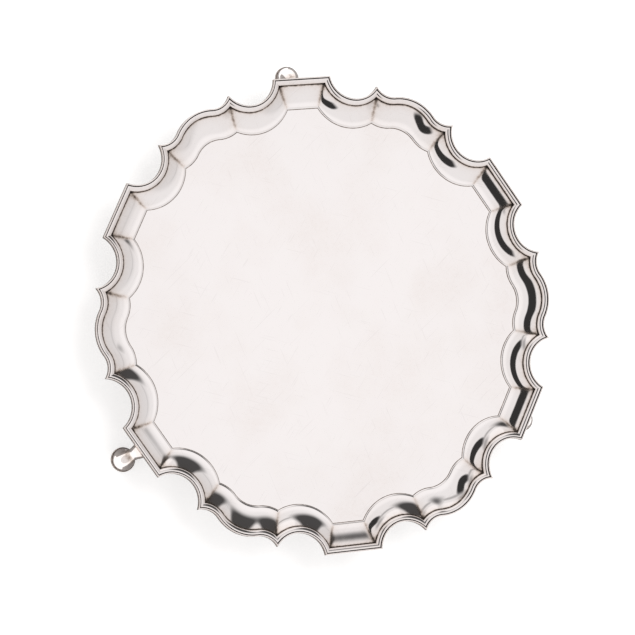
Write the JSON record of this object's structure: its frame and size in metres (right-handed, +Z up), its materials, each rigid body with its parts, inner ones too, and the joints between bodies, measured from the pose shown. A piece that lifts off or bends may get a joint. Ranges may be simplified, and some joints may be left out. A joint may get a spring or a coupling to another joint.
{
  "type": "salver",
  "caption": "Round footed serving salver with a flat well, a hollow cove and a mitred piecrust rim of straights, arcs and ogees, standing on cast pad feet.",
  "frame": {"origin": "centre of the salver in the plane that the three soles stand on", "axes": "+Z up out of the well, +Y from the centre to the middle of the straight above foot 1"},
  "size_m": [0.3038, 0.3156, 0.032],
  "materials": {
    "raised_sheet_silver": "sterling silver sheet, raised and polished, with a fine wear haze in the well",
    "rim_moulding_silver": "sterling silver moulding, mitred, soldered and brightly polished",
    "cast_foot_silver": "cast sterling silver, chased and polished, with light tarnish in the grooves"
  },
  "bodies": {
    "root": {"tray": "raised_sheet_silver", "rim_straight_1": "rim_moulding_silver", "rim_straight_2": "rim_moulding_silver", "rim_straight_3": "rim_moulding_silver", "rim_straight_4": "rim_moulding_silver", "rim_straight_5": "rim_moulding_silver", "rim_straight_6": "rim_moulding_silver", "rim_arc_1": "rim_moulding_silver", "rim_arc_2": "rim_moulding_silver", "rim_arc_3": "rim_moulding_silver", "rim_arc_4": "rim_moulding_silver", "rim_arc_5": "rim_moulding_silver", "rim_arc_6": "rim_moulding_silver", "rim_arc_7": "rim_moulding_silver", "rim_arc_8": "rim_moulding_silver", "rim_arc_9": "rim_moulding_silver", "rim_arc_10": "rim_moulding_silver", "rim_arc_11": "rim_moulding_silver", "rim_arc_12": "rim_moulding_silver", "rim_ogee_1": "rim_moulding_silver", "rim_ogee_2": "rim_moulding_silver", "rim_ogee_3": "rim_moulding_silver", "rim_ogee_4": "rim_moulding_silver", "rim_ogee_5": "rim_moulding_silver", "rim_ogee_6": "rim_moulding_silver", "foot_1": "cast_foot_silver", "foot_2": "cast_foot_silver", "foot_3": "cast_foot_silver"}
  },
  "joints": []
}
